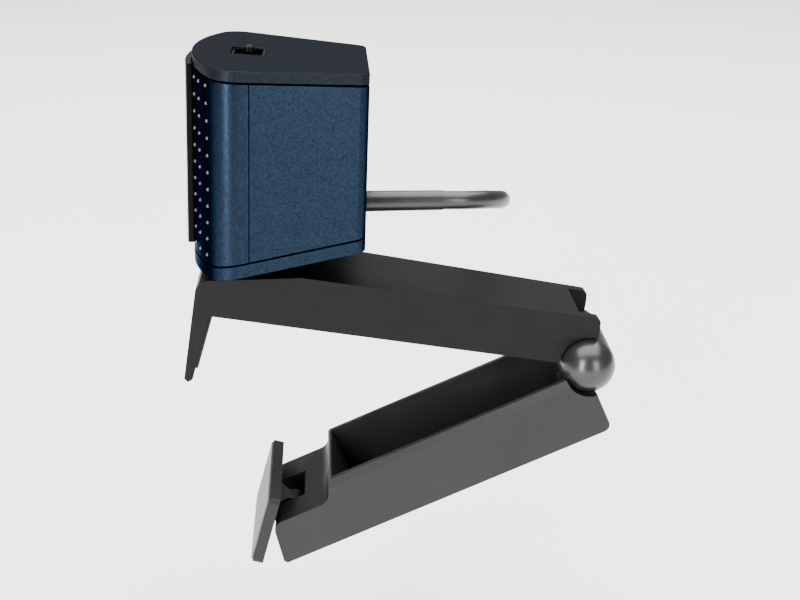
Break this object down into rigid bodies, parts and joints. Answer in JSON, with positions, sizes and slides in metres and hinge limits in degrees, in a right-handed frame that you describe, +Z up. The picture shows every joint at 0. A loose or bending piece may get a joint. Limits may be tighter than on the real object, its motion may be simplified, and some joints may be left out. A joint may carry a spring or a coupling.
{
  "type": "clip-on webcam",
  "caption": "Clip-on webcam: a rounded metallic blue camera head on a folding monitor-clip stand with a hook, ball-ended hinge and tilting foot pad, with its USB lead tied in a hank.",
  "frame": {"origin": "on the underside of the upper clip arm, where it rests on a screen's top edge, in the plane of symmetry", "axes": "+X from the lens side to the rear of the camera, so the lens faces -X; +Y across the part; +Z up"},
  "size_m": [0.0944, 0.0825, 0.1127],
  "materials": {
    "arm_black": "fine satin moulding, no texture grain",
    "brace_black": "fine satin moulding, a little lighter than the upper arm",
    "cap_black": "smooth satin",
    "foot_black": "fine satin moulding",
    "pad_rubber": "soft matte rubber",
    "pad_grey": "finely textured soft rubber",
    "screw_steel": "zinc plated",
    "pin_steel": "turned steel",
    "washer_plastic": "natural nylon",
    "shell_blue": "fine metallic blue paint with small sparkle",
    "top_slate": "fine metallic slate paint",
    "gloss_black": "polished black",
    "lens_glass": "clear coated glass",
    "barrel_black": "matt black moulding",
    "ring_grey": "dark anodised",
    "board_green": "solder mask",
    "sensor_glass": "covered sensor die",
    "chip_black": "moulded package",
    "connector_ivory": "moulded connector",
    "mic_metal": "pressed can",
    "led_clear": "clear moulding",
    "dot_grey": "light grey paint",
    "lead_black": "satin cable sheath",
    "tie_black": "woven hook-and-loop strap",
    "plug_black": "satin overmould",
    "plug_steel": "nickel plated shell",
    "tongue_white": "moulded tongue"
  },
  "bodies": {
    "clip": {"upper_arm": "arm_black", "underside_cover": "arm_black", "rest_pad": "pad_rubber", "hook_pad": "pad_rubber", "cover_screws": "screw_steel", "hinge_axle": "pin_steel", "swivel_washer": "washer_plastic"},
    "brace": {"lower_arm": "brace_black", "hinge_caps": "cap_black", "hinge_washers": "washer_plastic", "foot_pin": "pin_steel"},
    "foot": {"foot_plate": "foot_black", "foot_pad": "pad_grey"},
    "swivel": {"swivel_post": "arm_black", "swivel_screw": "screw_steel"},
    "shutter": {"shutter_blade": "barrel_black", "shutter_knob": "gloss_black"},
    "head": {"base_cover": "shell_blue", "front_shell": "shell_blue", "rear_shell": "shell_blue", "top_cover": "top_slate", "slider_bezel": "gloss_black", "front_panel": "gloss_black", "lens_window": "lens_glass", "lens_barrel": "barrel_black", "lens_ring": "ring_grey", "lens_elements": "lens_glass", "sensor_board": "board_green", "image_sensor": "sensor_glass", "main_board": "board_green", "processor_chip": "chip_black", "lead_connector": "connector_ivory", "inner_lead": "lead_black", "microphones": "mic_metal", "status_led": "led_clear", "light_guide": "led_clear", "grille_dots": "dot_grey", "base_screws": "screw_steel", "board_screws": "screw_steel", "tilt_pin": "pin_steel", "tilt_washers": "washer_plastic", "lead_sleeve": "lead_black", "lead_run": "lead_black", "lead_hank": "lead_black", "hank_tie": "tie_black", "plug_body": "plug_black", "plug_shell": "plug_steel", "plug_tongue": "tongue_white"}
  },
  "joints": [
    {"name": "clip_fold", "type": "hinge", "parent": "clip", "child": "brace", "pos_m": [0.07341, 0, -0.01234], "axis": [0, -1, 0], "range_deg": [-25, 110]},
    {"name": "foot_tilt", "type": "hinge", "parent": "brace", "child": "foot", "pos_m": [0.00843, 0, -0.05004], "axis": [0, 1, 0], "range_deg": [-12, 12]},
    {"name": "head_pan", "type": "hinge", "parent": "clip", "child": "swivel", "pos_m": [0.008, 0, 0.0095], "axis": [0, 0, 1], "range_deg": [-35, 35]},
    {"name": "head_tilt", "type": "hinge", "parent": "swivel", "child": "head", "pos_m": [0.008, 0, 0.019], "axis": [0, 1, 0], "range_deg": [-4, 15]},
    {"name": "shutter_slide", "type": "slide", "parent": "head", "child": "shutter", "axis": [0, -1, 0], "range_m": [0, 0.0044]}
  ]
}
